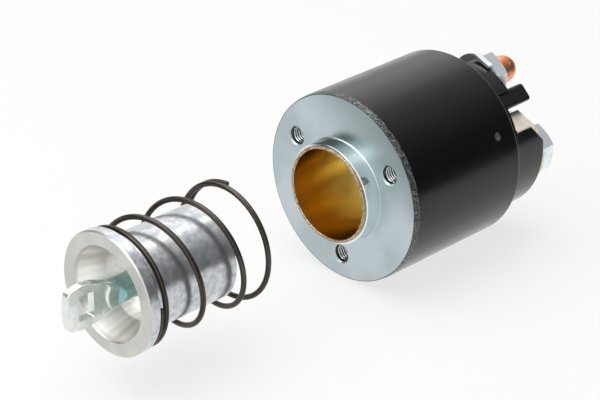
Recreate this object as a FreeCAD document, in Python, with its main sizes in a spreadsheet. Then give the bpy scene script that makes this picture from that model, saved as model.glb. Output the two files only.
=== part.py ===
import FreeCAD, Part
import math
import os
import re
import Sketcher

# Starter solenoid, drawn with its plunger out of the bore.
# X runs along the bore from the plunger to the terminals, Z is up, and the origin
# is the centre of the front plate's mounting face.

os.makedirs("parts", exist_ok=True)
doc = FreeCAD.newDocument("StarterSolenoid")
Vector = FreeCAD.Vector

# Each row is a size's name, its value in millimetres or degrees, and its meaning.
SIZES = [
    ("case_radius", 27.0, "outside radius of the drawn steel case"),
    ("case_wall", 2.0, "wall of the case"),
    ("case_length", 42.5, "mounting face to the rolled rear lip"),
    ("front_lip_depth", 1.2, "depth of the seat that the plate's rim sits in"),
    ("front_lip_wall", 0.4, "wall of the case round that seat"),
    ("front_lip_edge", 0.15, "width of the lip's flat front edge"),
    ("front_slope_length", 1.6, "length of the cone behind the front lip"),
    ("rear_lip_reach", 0.7, "how far the rear lip folds in over the cap"),
    ("rear_lip_thickness", 1.2, "thickness of the folded rear lip"),
    ("rear_lip_round", 0.5, "outer rounding of the rear lip"),
    ("dimple_count", 3, "staking dimples round the case"),
    ("dimple_place", 35.6, "mounting face to the staking dimples"),
    ("dimple_angle", 154.2, "angle of the first dimple, from Y towards Z"),
    ("dimple_radius", 1.3, "mouth radius of a dimple"),
    ("dimple_depth", 0.9, "depth of a dimple"),
    ("seat_gap", 0.05, "clearance of pieces that seat in each other"),
    ("running_gap", 0.08, "radial clearance of pieces that slide"),
    ("plate_thickness", 5.0, "thickness of the front plate"),
    ("collar_radius", 14.4, "outside radius of the spigot on the front plate"),
    ("collar_height", 4.9, "height of the spigot"),
    ("collar_edge", 0.25, "chamfer on the spigot's front edge"),
    ("collar_root", 0.45, "fillet at the spigot's foot"),
    ("bolt_circle", 20.0, "radius of the circle of tapped holes"),
    ("bolt_count", 3, "tapped holes in the front plate"),
    ("bolt_angle", 30.0, "angle of the first tapped hole, from Y towards Z"),
    ("thread_radius", 2.5, "outside radius of the M5 thread"),
    ("tap_mouth", 2.9, "radius of the countersunk mouth"),
    ("sleeve_bore", 12.95, "bore that guides the plunger"),
    ("sleeve_wall", 0.6, "wall of the brass sleeve"),
    ("sleeve_rim", 13.85, "radius of the rim flared over the spigot"),
    ("sleeve_rim_thickness", 0.5, "thickness of the flared rim"),
    ("sleeve_setback", 1.0, "how far the sleeve ends before the core plate"),
    ("bobbin_wall", 1.4, "wall of the bobbin's tube"),
    ("bobbin_flange", 1.5, "thickness of the bobbin's end flanges"),
    ("winding_gap", 0.3, "clearance round each winding"),
    ("pull_winding_depth", 4.6, "radial depth of the pull-in winding"),
    ("hold_winding_depth", 3.6, "radial depth of the hold-in winding"),
    ("core_length", 13.0, "length of the fixed core"),
    ("core_plate_thickness", 3.5, "thickness of the core plate"),
    ("core_edge", 0.8, "chamfer round the core's face"),
    ("rod_radius", 2.5, "radius of the contact rod"),
    ("rod_reach", 3.0, "how far the contact rod stands out of the core"),
    ("rod_tail", 9.0, "how far the contact rod stands out behind the core"),
    ("rod_collar_radius", 4.6, "radius of the rod's collar"),
    ("rod_collar_depth", 6.9, "depth of the rod's collar in the back of the core"),
    ("rod_collar_thickness", 1.2, "thickness of the rod's collar"),
    ("core_pocket_radius", 6.2, "radius of the pocket in the back of the core"),
    ("seal_thickness", 1.0, "thickness of the rubber seal"),
    ("seal_setback", 0.2, "how far the seal's bore stands back from the chamber"),
    ("cap_gap", 0.3, "clearance between the rear lip and the cap"),
    ("cap_flange", 5.65, "thickness of the cap's clamped flange"),
    ("cap_rise", 4.0, "rear lip to the cap's lower level"),
    ("cap_edge", 0.6, "rounding of the cap's outer edge"),
    ("cap_top_wall", 2.2, "thickness of the cap's rear wall"),
    ("cap_wall", 1.0, "thickness of the cap's outer wall"),
    ("hub_radius", 8.2, "radius of the hub over the rod's spring"),
    ("hub_rise", 6.5, "height of the hub over the cap's lower level"),
    ("well_radius", 5.2, "radius of the spring well in the hub"),
    ("hub_wall", 2.0, "thickness of the hub's rear wall"),
    ("block_rise", 3.05, "height of the block under the battery washer"),
    ("block_reach", 0.5, "how far the block stands out over the case"),
    ("block_start_angle", 98.0, "angle where the block starts"),
    ("block_end_angle", 131.0, "angle where the block ends"),
    ("block_inner_radius", 11.0, "radius of the block's inner side"),
    ("tower_rise", 10.8, "height of the motor terminal's tower"),
    ("tower_inset", 0.4, "how far the tower's wall stands in from the cap's"),
    ("tower_side_angle", 112.2, "direction that the tower's flat upper side faces"),
    ("tower_side_share", 0.665, "axis to the tower's flat upper side, as a share of its radius"),
    ("tower_side_start", 10.3, "inner end of the upper side, measured along it"),
    ("tower_end_angle", 254.0, "angle where the tower's wall ends"),
    ("tower_inner_radius", 8.85, "radius of the tower's inner corner"),
    ("tower_inner_angle", 137.3, "angle of the tower's inner corner"),
    ("tower_bevel", 4.2, "chamfer between the upper side and the rear face"),
    ("tower_round", 0.9, "rounding of the tower's rear edges"),
    ("barrier_rise", 11.3, "height of the barrier over the cap's lower level"),
    ("barrier_start_angle", 127.5, "angle of the barrier's upper side"),
    ("barrier_end_angle", 141.5, "angle of the barrier's lower side"),
    ("barrier_inner_inset", 5.1, "cap's wall to the barrier's inner side"),
    ("barrier_outer_inset", 1.2, "cap's wall to the barrier's outer corners"),
    ("barrier_round", 0.9, "rounding of the barrier's corners"),
    ("stud_radius", 4.0, "radius of an M8 terminal stud"),
    ("stud_head_radius", 4.6, "radius of a stud's contact head"),
    ("stud_head_thickness", 2.8, "thickness of a stud's contact head"),
    ("stud_tip_round", 3.7, "rounding of a stud's end"),
    ("battery_stud_inset", 5.9, "cap's wall to the battery stud's middle"),
    ("battery_stud_angle", 102.1, "angle of the battery stud"),
    ("battery_stud_rise", 18.5, "height of the battery stud over the cap"),
    ("motor_stud_inset", 8.87, "cap's wall to the motor stud's middle"),
    ("motor_stud_angle", 193.8, "angle of the motor stud"),
    ("motor_stud_rise", 18.1, "height of the motor stud over the cap"),
    ("nut_flats", 13.0, "across flats of an M8 nut"),
    ("battery_nut_height", 5.2, "height of the battery nut"),
    ("motor_nut_height", 5.9, "height of the motor nut"),
    ("nut_chamfer_angle", 30.0, "angle of the nut's corner chamfer"),
    ("battery_nut_turn", 8.0, "turn of the battery nut about its stud"),
    ("motor_nut_turn", 8.0, "turn of the motor nut about its stud"),
    ("washer_radius", 7.9, "outside radius of the battery washer"),
    ("washer_thickness", 0.8, "thickness of the battery washer"),
    ("lug_angle", 112.0, "direction of the lug that locks the washer"),
    ("lug_width", 5.6, "width of that lug"),
    ("lug_drop", 1.0, "how far the lug is bent down beside the block"),
    ("strap_thickness", 1.05, "thickness of the tinned strap"),
    ("strap_width", 6.5, "width of the strap's leg"),
    ("strap_eye_radius", 8.0, "radius of the strap's eye"),
    ("blade_width", 6.3, "width of the trigger blade"),
    ("blade_thickness", 0.8, "thickness of the trigger blade"),
    ("blade_height", 9.5, "height of the trigger blade"),
    ("blade_foot", 7.0, "length of the blade's foot"),
    ("blade_y", 12.0, "across position of the blade's foot"),
    ("blade_z", -12.0, "height of the blade's middle"),
    ("rivet_radius", 1.5, "shank radius of the blade's rivet"),
    ("rivet_head_radius", 2.4, "head radius of the blade's rivet"),
    ("rivet_head_thickness", 1.1, "head thickness of the blade's rivet"),
    ("disc_radius", 15.2, "radius of the moving contact disc"),
    ("disc_thickness", 1.8, "thickness of the moving contact disc"),
    ("contact_gap", 3.2, "gap between the disc and the stud heads"),
    ("bush_radius", 6.0, "radius of the insulating bushes"),
    ("bush_flange", 0.9, "thickness of a bush's flange"),
    ("bush_wall", 1.0, "wall of the front bush's tube"),
    ("clip_radius", 4.4, "radius of the rod's retaining clip"),
    ("clip_thickness", 0.8, "thickness of the rod's retaining clip"),
    ("contact_spring_wire", 0.45, "wire radius of the contact spring"),
    ("contact_spring_radius", 3.9, "mean radius of the contact spring"),
    ("contact_spring_turns", 4.0, "turns of the contact spring"),
    ("rod_spring_wire", 0.4, "wire radius of the rod's return spring"),
    ("rod_spring_radius", 3.7, "mean radius of the rod's return spring"),
    ("rod_spring_turns", 5.0, "turns of the rod's return spring"),
    ("plunger_front", -82.9, "mounting face to the plunger's front, drawn out"),
    ("plunger_length", 32.5, "length of the plunger"),
    ("flange_radius", 16.75, "radius of the plunger's spring flange"),
    ("flange_thickness", 3.4, "thickness of the spring flange"),
    ("flange_edge", 0.35, "chamfer on the flange's edges"),
    ("mouth_radius", 12.7, "radius of the cup at the plunger's front"),
    ("mouth_edge", 0.3, "rounding of the cup's mouth"),
    ("cup_cone_depth", 8.6, "depth of the cup's cone"),
    ("cup_waist_radius", 10.1, "radius where the cone ends"),
    ("cup_depth", 11.6, "depth of the cup's floor"),
    ("cup_floor_thickness", 3.4, "thickness of the cup's floor"),
    ("shank_radius", 3.5, "radius of the pull hook's shank"),
    ("spring_room_radius", 8.6, "radius of the room behind the cup's floor"),
    ("plug_thickness", 3.0, "thickness of the plug that closes the plunger"),
    ("plunger_rear_edge", 0.5, "chamfer on the plunger's rear edge"),
    ("hook_reach", 13.3, "how far the hook stands out of the flange"),
    ("hook_nose_height", 4.8, "height of the nose's blunt front"),
    ("hook_corner_place", 0.7, "nose to its upper and lower corners"),
    ("hook_corner_height", 10.8, "height between those corners"),
    ("hook_height", 12.3, "greatest height of the hook's eye"),
    ("hook_shoulder", 4.8, "nose to the highest point of the eye"),
    ("hook_waist", 8.7, "nose to where the eye narrows"),
    ("hook_waist_height", 11.4, "height of the eye there"),
    ("hook_flat_length", 14.3, "length of the hook's forged blade"),
    ("hook_step_place", 12.0, "nose to the step at the shank"),
    ("hook_step_length", 1.2, "length of that bevelled step"),
    ("hook_flat_gap", 4.0, "thickness across the shank's two milled flats"),
    ("hook_flat_middle", 14.2, "nose to the middle of the flats' round ends"),
    ("hook_flat_round", 2.9, "radius of those round ends"),
    ("hook_thickness", 2.4, "thickness of the forged blade"),
    ("hook_nose_round", 1.6, "rounding of the nose's corners"),
    ("hook_front_round", 4.0, "rounding beside the nose's blunt front"),
    ("hook_shoulder_round", 5.0, "rounding of the eye's shoulders"),
    ("hook_edge", 0.35, "rounding of the blade's edges"),
    ("window_front", 3.5, "nose to the window"),
    ("window_length", 4.9, "length of the window along the hook"),
    ("window_height", 7.0, "height of the window"),
    ("window_round", 0.5, "rounding of the window's corners"),
    ("spring_seat_radius", 7.8, "radius of the collar on the hook's tail"),
    ("spring_seat_thickness", 2.0, "thickness of that collar"),
    ("spring_seat_gap", 0.3, "gap between the collar and the plug"),
    ("tail_radius", 2.2, "radius of the hook's riveted tail"),
    ("mesh_spring_wire", 0.7, "wire radius of the spring in the plunger"),
    ("mesh_spring_radius", 5.7, "mean radius of the spring in the plunger"),
    ("mesh_spring_turns", 4.5, "turns of the spring in the plunger"),
    ("return_spring_wire", 0.74, "wire radius of the plunger's return spring"),
    ("return_spring_share", 0.662, "place of the return spring between the body and the flange's edge"),
    ("return_spring_length", 38.8, "free length of the return spring"),
    ("return_spring_turns", 4.75, "turns of the return spring"),
    ("return_spring_start", 178.0, "angle of the cut end behind the flange"),
    ("closed_turns", 0.95, "turns closed up at each end of a spring"),
    ("easing_turns", 0.4, "turns over which the pitch opens"),
    ("coil_gap", 0.06, "gap between closed turns"),
]

# Places that several pieces share, each worked out from the sizes and earlier places.
PLACES = [
    ("case_bore", "case_radius - case_wall", "inside radius of the case"),
    ("front_lip_radius", "case_radius - front_lip_wall", "radius of the seat in the front lip"),
    ("lip_front", "case_length - rear_lip_thickness", "front side of the rear lip"),
    ("sleeve_outside", "sleeve_bore + sleeve_wall", "outside radius of the sleeve"),
    ("cap_radius", "case_bore - rear_lip_reach - cap_gap", "radius of the cap's wall"),
    ("chamber_radius", "cap_radius - cap_wall", "radius of the contact chamber"),
    ("cap_flange_front", "lip_front - seat_gap - cap_flange", "front side of the cap's flange"),
    ("core_rear", "cap_flange_front - seal_thickness - 2 * seat_gap", "back of the core plate"),
    ("core_plate_front", "core_rear - core_plate_thickness", "front of the core plate"),
    ("core_radius", "sleeve_bore - seat_gap", "radius of the fixed core"),
    ("core_face", "core_rear - core_length", "face of the fixed core"),
    ("rod_tip", "core_face - rod_reach", "tip of the contact rod"),
    ("rod_end", "core_rear + rod_tail", "rear end of the contact rod"),
    ("rod_collar_place", "core_rear - rod_collar_depth", "front of the rod's collar"),
    ("rod_collar_back", "rod_collar_place + rod_collar_thickness", "back of the rod's collar"),
    ("cap_level", "case_length + cap_rise", "cap's lower level"),
    ("chamber_rear", "cap_level - cap_top_wall", "rear of the contact chamber"),
    ("hub_level", "cap_level + hub_rise", "rear of the hub"),
    ("well_floor", "hub_level - hub_wall", "floor of the spring well"),
    ("block_level", "cap_level + block_rise", "rear of the battery terminal's block"),
    ("tower_radius", "cap_radius - tower_inset", "radius of the tower's wall"),
    ("tower_level", "cap_level + tower_rise", "rear of the tower"),
    ("tower_side", "tower_radius * tower_side_share", "axis to the tower's upper side"),
    ("tower_side_end", "sqrt(tower_radius * tower_radius - tower_side * tower_side)", "its outer end"),
    ("barrier_level", "cap_level + barrier_rise", "rear of the barrier"),
    ("head_front", "chamber_rear - seat_gap - stud_head_thickness", "face of the studs' heads"),
    ("disc_rear", "head_front - contact_gap", "rear of the contact disc"),
    ("disc_front", "disc_rear - disc_thickness", "front of the contact disc"),
    ("bush_front", "disc_front - bush_flange - seat_gap", "front of the front bush"),
    ("clip_front", "disc_rear + bush_flange + 2 * seat_gap", "front of the rod's clip"),
    ("clip_rear", "clip_front + clip_thickness", "rear of the rod's clip"),
    ("battery_y", "(cap_radius - battery_stud_inset) * cos(battery_stud_angle)", "battery stud, across"),
    ("battery_z", "(cap_radius - battery_stud_inset) * sin(battery_stud_angle)", "battery stud, height"),
    ("battery_end", "cap_level + battery_stud_rise", "end of the battery stud"),
    ("motor_y", "(cap_radius - motor_stud_inset) * cos(motor_stud_angle)", "motor stud, across"),
    ("motor_z", "(cap_radius - motor_stud_inset) * sin(motor_stud_angle)", "motor stud, height"),
    ("motor_end", "cap_level + motor_stud_rise", "end of the motor stud"),
    ("plunger_body", "sleeve_bore - running_gap", "radius of the plunger's body"),
    ("spring_inmost", "plunger_body + return_spring_wire", "mean radius of a spring touching the body"),
    ("return_spring_radius", "spring_inmost + (flange_radius - spring_inmost) * return_spring_share",
     "mean radius of the return spring"),
    ("cup_floor_rear", "cup_depth + cup_floor_thickness", "rear side of the cup's floor"),
    ("plug_front", "plunger_length - plug_thickness", "front of the plunger's plug"),
    ("seat_rear", "plug_front - spring_seat_gap", "rear of the hook's collar"),
    ("seat_front", "seat_rear - spring_seat_thickness", "front of the hook's collar"),
    ("hook_root", "hook_flat_length - hook_reach", "flange to the end of the hook's blade"),
]
SIZE_NAMES = {name for name, number, meaning in SIZES}
PLACE_NAMES = {name for name, formula, meaning in PLACES}


def bound(formula, place_sheet="Places."):
    """The formula with every size's and place's name pointing at its cell."""
    def cell(match):
        word = match.group(0)
        if word in PLACE_NAMES:
            return place_sheet + word
        return f"Sizes.{word}" if word in SIZE_NAMES else word
    return re.sub(r"[a-z_]+", cell, formula)


def fill(name, rows, worked_out=False):
    """A sheet of meanings and values, each value's cell named by its alias."""
    sheet = doc.addObject("Spreadsheet::Sheet", name)
    for row, (alias, value, meaning) in enumerate(rows, start=1):
        sheet.set(f"A{row}", meaning)
        sheet.set(f"B{row}", "=" + bound(value, "") if worked_out else str(value))
        sheet.setAlias(f"B{row}", alias)
    return sheet


size_sheet = fill("Sizes", SIZES)
doc.recompute()
place_sheet = fill("Places", PLACES, worked_out=True)
doc.recompute()


def size(alias):
    """The number that a sheet holds for a size or a place."""
    sheet = place_sheet if alias in PLACE_NAMES else size_sheet
    return float(getattr(sheet, alias))


def new_body(label):
    """An empty piece under its own name."""
    body = doc.addObject("PartDesign::Body", label)
    body.Label = label
    return body


def origin_feature(body, role):
    """One of the body's own origin planes or axes."""
    return [item for item in body.Origin.OriginFeatures if item.Role == role][0]


def new_sketch(body, name, plane="XY_Plane", turn=None, height=None):
    """A sketch on an origin plane, turned about its first axis or raised along its normal."""
    sketch = body.newObject("Sketcher::SketchObject", f"{body.Name}_{name}")
    sketch.AttachmentSupport = [(origin_feature(body, plane), "")]
    sketch.MapMode = "FlatFace"
    if turn is not None:
        sketch.AttachmentOffset = FreeCAD.Placement(Vector(0, 0, 0), FreeCAD.Rotation(Vector(1, 0, 0), 1))
        sketch.setExpression("AttachmentOffset.Rotation.Angle", bound(turn))
    if height is not None:
        sketch.setExpression("AttachmentOffset.Base.z", bound(height))
    return sketch


def pin_coordinate(sketch, geometry, end, axis, formula):
    """Fix one coordinate of a line's end by a formula."""
    index = sketch.addConstraint(Sketcher.Constraint(axis, -1, 1, geometry, end, 1.0))
    sketch.setExpression(f"Constraints[{index}]", bound(formula))


def pin_point(sketch, geometry, end, place):
    """Fix one end of a line at a place given by two formulas."""
    pin_coordinate(sketch, geometry, end, "DistanceX", place[0])
    pin_coordinate(sketch, geometry, end, "DistanceY", place[1])


def outline(sketch, places):
    """A closed outline of straight lines through places given by formulas."""
    count = len(places)
    first = sketch.GeometryCount
    for number in range(count):
        angle = 2 * math.pi * number / count
        following = 2 * math.pi * (number + 1) / count
        start = Vector(math.cos(angle), math.sin(angle), 0)
        end = Vector(math.cos(following), math.sin(following), 0)
        sketch.addGeometry(Part.LineSegment(start, end))
    for number in range(count):
        joined = first + (number + 1) % count
        sketch.addConstraint(Sketcher.Constraint("Coincident", first + number, 2, joined, 1))
    for number, place in enumerate(places):
        pin_point(sketch, first + number, 1, place)


def circle(sketch, place, radius):
    """A circle with its centre and radius given by formulas."""
    index = sketch.addGeometry(Part.Circle(Vector(1, 1, 0), Vector(0, 0, 1), 1))
    pin_point(sketch, index, 3, place)
    radius_index = sketch.addConstraint(Sketcher.Constraint("Radius", index, 1.0))
    sketch.setExpression(f"Constraints[{radius_index}]", bound(radius))


def turned(body, name, places, cut=False, turn=None):
    """Turn an outline about the X axis, as material or as a cut."""
    sketch = new_sketch(body, name + "_profile", turn=turn)
    outline(sketch, places)
    kind = "PartDesign::Groove" if cut else "PartDesign::Revolution"
    feature = body.newObject(kind, f"{body.Name}_{name}")
    feature.Profile = sketch
    feature.ReferenceAxis = (sketch, ["H_Axis"])
    feature.Angle = 360
    return feature


def drilled(body, name, places, axis_from, axis_to, turn=None):
    """Turn an outline about a line of its own and take it away."""
    sketch = new_sketch(body, name + "_profile", turn=turn)
    outline(sketch, places)
    index = sketch.addGeometry(Part.LineSegment(Vector(0, 0, 0), Vector(1, 1, 0)), True)
    pin_point(sketch, index, 1, axis_from)
    pin_point(sketch, index, 2, axis_to)
    feature = body.newObject("PartDesign::Groove", f"{body.Name}_{name}")
    feature.Profile = sketch
    feature.ReferenceAxis = (sketch, ["Axis0"])
    feature.Angle = 360
    return feature


def pushed(body, name, sketch, depth, cut=False, both=False, reverse=False):
    """Push a sketch along its normal, as material or as a cut."""
    kind = "PartDesign::Pocket" if cut else "PartDesign::Pad"
    feature = body.newObject(kind, f"{body.Name}_{name}")
    feature.Profile = sketch
    feature.Midplane = both
    feature.Reversed = reverse
    feature.setExpression("Length", bound(depth))
    return feature


def around(body, name, feature, count):
    """Repeat a feature evenly about the X axis."""
    pattern = body.newObject("PartDesign::PolarPattern", f"{body.Name}_{name}")
    pattern.Originals = [feature]
    pattern.Axis = (origin_feature(body, "X_Axis"), [""])
    pattern.Angle = 360
    pattern.setExpression("Occurrences", bound(count))
    body.Tip = pattern
    return pattern


def edge_names(feature, wanted):
    """The names of the edges that a test picks."""
    doc.recompute()
    edges = enumerate(feature.Shape.Edges, start=1)
    return [f"Edge{number}" for number, edge in edges if wanted(edge)]


def softened(body, name, feature, wanted, amount, chamfer=False):
    """Round or chamfer the edges that a test picks."""
    kind = "PartDesign::Chamfer" if chamfer else "PartDesign::Fillet"
    dressing = body.newObject(kind, f"{body.Name}_{name}")
    dressing.Base = (feature, edge_names(feature, wanted))
    dressing.setExpression("Size" if chamfer else "Radius", bound(amount))
    return dressing


def close(first, second):
    """Whether two lengths agree."""
    return abs(first - second) < 1e-4


def ring_edge(edge, radius, place):
    """Whether an edge is a circle about the X axis with this radius and place."""
    curve = edge.Curve
    if not isinstance(curve, Part.Circle):
        return False
    return close(curve.Radius, radius) and close(curve.Center.x, place)


def along_axis(edge, axis):
    """Whether an edge is straight along one of the three axes."""
    if not isinstance(edge.Curve, (Part.Line, Part.LineSegment)):
        return False
    run = edge.Vertexes[-1].Point - edge.Vertexes[0].Point
    return close(abs(run.dot(axis)), run.Length)


def ring(label, inner, outer, front, rear):
    """A plain turned ring between two radii and two places."""
    body = new_body(label)
    turned(body, "ring", [(front, inner), (rear, inner), (rear, outer), (front, outer)])
    return body


def case():
    """Drawn steel case: a tube with a thin front lip and a rear lip rolled in over the cap."""
    body = new_body("case")
    turned(body, "shell", [
        ("seat_gap", "front_lip_radius"),
        ("front_lip_depth", "front_lip_radius"),
        ("front_lip_depth", "case_bore"),
        ("lip_front", "case_bore"),
        ("lip_front", "case_bore - rear_lip_reach"),
        ("case_length", "case_bore - rear_lip_reach"),
        ("case_length", "case_radius"),
        ("front_slope_length", "case_radius"),
        ("seat_gap", "front_lip_radius + front_lip_edge"),
    ])
    doc.recompute()
    shell = body.Tip
    softened(body, "rear_round", shell,
             lambda edge: ring_edge(edge, size("case_radius"), size("case_length")), "rear_lip_round")
    dimple = drilled(body, "dimple", [
        ("dimple_place", "case_radius - dimple_depth"),
        ("dimple_place + dimple_radius", "case_radius"),
        ("dimple_place + dimple_radius", "case_radius + dimple_depth"),
        ("dimple_place", "case_radius + dimple_depth"),
    ], ("dimple_place", "0"), ("dimple_place", "case_radius"), turn="dimple_angle")
    around(body, "dimples", dimple, "dimple_count")


def front_plate():
    """Machined steel plate with a spigot, three tapped holes and a bore for the sleeve."""
    body = new_body("front_plate")
    bore = "sleeve_outside + seat_gap"
    plate = turned(body, "disc", [
        ("-collar_height", bore),
        ("plate_thickness", bore),
        ("plate_thickness", "case_bore - seat_gap"),
        ("front_lip_depth - seat_gap", "case_bore - seat_gap"),
        ("front_lip_depth - seat_gap", "front_lip_radius - seat_gap"),
        ("0", "front_lip_radius - seat_gap"),
        ("0", "collar_radius"),
        ("collar_edge - collar_height", "collar_radius"),
        ("-collar_height", "collar_radius - collar_edge"),
    ])
    root = softened(body, "root", plate,
                    lambda edge: ring_edge(edge, size("collar_radius"), 0.0), "collar_root")
    doc.recompute()
    before = root.Shape.Volume
    hole = drilled(body, "tapped_hole", [
        ("0", "bolt_circle"),
        ("0", "bolt_circle + tap_mouth"),
        ("tap_mouth - thread_radius", "bolt_circle + thread_radius"),
        ("plate_thickness", "bolt_circle + thread_radius"),
        ("plate_thickness", "bolt_circle"),
    ], ("0", "bolt_circle"), ("plate_thickness", "bolt_circle"), turn="bolt_angle")
    pattern = around(body, "tapped_holes", hole, "bolt_count")
    doc.recompute()
    if pattern.Shape.Volume >= before:
        raise RuntimeError("the tapped holes cut nothing")


def plunger_sleeve():
    """Drawn brass sleeve that guides the plunger, flared over the spigot's end."""
    body = new_body("plunger_sleeve")
    front = "-collar_height - seat_gap"
    rear = "core_plate_front - sleeve_setback"
    flare = turned(body, "tube", [
        (front + " - sleeve_rim_thickness", "sleeve_bore"),
        (rear, "sleeve_bore"),
        (rear, "sleeve_outside"),
        (front, "sleeve_outside"),
        (front, "sleeve_rim"),
        (front + " - sleeve_rim_thickness", "sleeve_rim"),
    ])
    nose = -size("collar_height") - size("seat_gap") - size("sleeve_rim_thickness")
    radii = (size("sleeve_bore"), size("sleeve_rim"))
    softened(body, "rim_round", flare,
             lambda edge: any(ring_edge(edge, radius, nose) for radius in radii),
             "sleeve_rim_thickness * 0.4")


def bobbin():
    """Moulded bobbin that carries both windings round the sleeve."""
    body = new_body("bobbin")
    inner = "sleeve_outside + seat_gap"
    tube = inner + " + bobbin_wall"
    flange = "case_bore - winding_gap"
    front = "plate_thickness + seat_gap"
    rear = "core_plate_front - seat_gap"
    turned(body, "spool", [
        (front, inner), (rear, inner), (rear, flange),
        (rear + " - bobbin_flange", flange), (rear + " - bobbin_flange", tube),
        (front + " + bobbin_flange", tube), (front + " + bobbin_flange", flange), (front, flange),
    ])


def windings():
    """The two copper windings: thick pull-in turns below, thin hold-in turns above."""
    front = "plate_thickness + bobbin_flange + winding_gap"
    rear = "core_plate_front - bobbin_flange - winding_gap"
    pull_inner = "sleeve_outside + 2 * seat_gap + bobbin_wall"
    pull_outer = pull_inner + " + pull_winding_depth"
    hold_inner = pull_outer + " + seat_gap"
    hold_outer = hold_inner + " + hold_winding_depth"
    ring("pull_in_winding", pull_inner, pull_outer, front, rear)
    ring("hold_in_winding", hold_inner, hold_outer, front, rear)


def fixed_core():
    """Turned steel core in the sleeve's rear half, bored for the contact rod."""
    body = new_body("fixed_core")
    bore = "rod_radius + running_gap"
    pocket_front = "rod_collar_place - seat_gap"
    turned(body, "core", [
        ("core_face", bore),
        (pocket_front, bore),
        (pocket_front, "core_pocket_radius"),
        ("core_rear", "core_pocket_radius"),
        ("core_rear", "core_radius"),
        ("core_face + core_edge", "core_radius"),
        ("core_face", "core_radius - core_edge"),
    ])


def core_plate():
    """Steel plate that closes the magnetic path round the core."""
    ring("core_plate", "sleeve_bore", "case_bore - seat_gap", "core_plate_front", "core_rear")


def cap_seal():
    """Flat rubber seal between the core plate and the cap."""
    ring("cap_seal", "chamber_radius + seal_setback", "case_bore - seat_gap",
         "core_rear + seat_gap", "core_rear + seat_gap + seal_thickness")


def cap_shell(body):
    """The cap's clamped flange, wall, chamber and hub, turned about the bore's axis."""
    shell = turned(body, "shell", [
        ("cap_flange_front", "chamber_radius"),
        ("chamber_rear", "chamber_radius"),
        ("chamber_rear", "well_radius"),
        ("well_floor", "well_radius"),
        ("well_floor", "0"),
        ("hub_level", "0"),
        ("hub_level", "hub_radius"),
        ("cap_level", "hub_radius"),
        ("cap_level", "cap_radius"),
        ("lip_front - seat_gap", "cap_radius"),
        ("lip_front - seat_gap", "case_bore - 2 * seat_gap"),
        ("cap_flange_front", "case_bore - 2 * seat_gap"),
    ])
    return softened(body, "shell_round", shell,
                    lambda edge: ring_edge(edge, size("cap_radius"), size("cap_level")), "cap_edge")


def sector(body, name, height, start, end_angle, radius, corners):
    """A plan of one arc about the bore's axis, closed by straight sides through corners."""
    sketch = new_sketch(body, name + "_plan", "YZ_Plane", height=height)
    high = math.radians(size(end_angle))
    wall = Part.Circle(Vector(0, 0, 0), Vector(0, 0, 1), radius)
    low = wall.parameter(start)
    arc = sketch.addGeometry(Part.ArcOfCircle(wall, low, high))
    near = [wall.value(low)]
    near += [point for point, place in corners[1:]]
    near += [wall.value(high)]
    lines = [sketch.addGeometry(Part.LineSegment(*ends)) for ends in zip(near, near[1:])]
    sketch.addConstraint(Sketcher.Constraint("Coincident", arc, 3, -1, 1))
    sketch.addConstraint(Sketcher.Constraint("Coincident", arc, 1, lines[0], 1))
    sketch.addConstraint(Sketcher.Constraint("Coincident", arc, 2, lines[-1], 2))
    for first, second in zip(lines, lines[1:]):
        sketch.addConstraint(Sketcher.Constraint("Coincident", first, 2, second, 1))
    for line, (point, place) in zip(lines, corners):
        pin_point(sketch, line, 1, place)
    return sketch, lines[-1]


def polar(radius, angle):
    """A corner at a radius and an angle, as a point and as formulas."""
    turn = math.radians(size(angle))
    point = Vector(size(radius) * math.cos(turn), size(radius) * math.sin(turn), 0)
    return point, (f"{radius} * cos({angle})", f"{radius} * sin({angle})")


def on_tower_side(along):
    """A corner on the line of the tower's flat upper side, as a point and as formulas."""
    turn = math.radians(size("tower_side_angle"))
    out = Vector(math.cos(turn), math.sin(turn), 0)
    side = Vector(-math.sin(turn), math.cos(turn), 0)
    point = out * size("tower_side") + side * size(along)
    return point, (f"tower_side * cos(tower_side_angle) - {along} * sin(tower_side_angle)",
                   f"tower_side * sin(tower_side_angle) + {along} * cos(tower_side_angle)")


def cap_tower(body):
    """The raised block under the motor terminal: a sector of wall with a cut-off upper side."""
    corners = [on_tower_side("tower_side_end"), on_tower_side("tower_side_start"),
               polar("tower_inner_radius", "tower_inner_angle")]
    sketch, closing = sector(body, "tower", "chamber_rear + cap_edge", corners[0][0],
                             "tower_end_angle", size("tower_radius"), corners)
    pin_coordinate(sketch, closing, 2, "DistanceX", "tower_radius * cos(tower_end_angle)")
    tower = pushed(body, "tower", sketch, "tower_level - chamber_rear - cap_edge")
    level = size("tower_level")
    turn = math.radians(size("tower_side_angle"))
    out = Vector(0, math.cos(turn), math.sin(turn))

    def upper_edge(edge):
        ends = [vertex.Point for vertex in edge.Vertexes]
        return all(close(end.x, level) and close(end.dot(out), size("tower_side")) for end in ends)

    bevelled = softened(body, "tower_bevel", tower, upper_edge, "tower_bevel", chamfer=True)

    def outer_edge(edge):
        curve = edge.Curve
        return isinstance(curve, Part.Circle) and close(curve.Radius, size("tower_radius")) and close(
            curve.Center.x, level)

    return softened(body, "tower_round", bevelled, outer_edge, "tower_round")


def cap_block(body):
    """The low block that the battery washer sits on, standing out a little over the case."""
    outer = size("cap_radius") + size("block_reach")
    start = math.radians(size("block_start_angle"))
    point = Vector(outer * math.cos(start), outer * math.sin(start), 0)
    first = (point, ("(cap_radius + block_reach) * cos(block_start_angle)",
                     "(cap_radius + block_reach) * sin(block_start_angle)"))
    corners = [first, polar("block_inner_radius", "block_start_angle"),
               polar("block_inner_radius", "block_end_angle")]
    sketch, closing = sector(body, "block", "chamber_rear + cap_edge", point,
                             "block_end_angle", outer, corners)
    pin_coordinate(sketch, closing, 2, "DistanceX", "(cap_radius + block_reach) * cos(block_end_angle)")
    pushed(body, "block", sketch, "block_level - chamber_rear - cap_edge")


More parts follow.
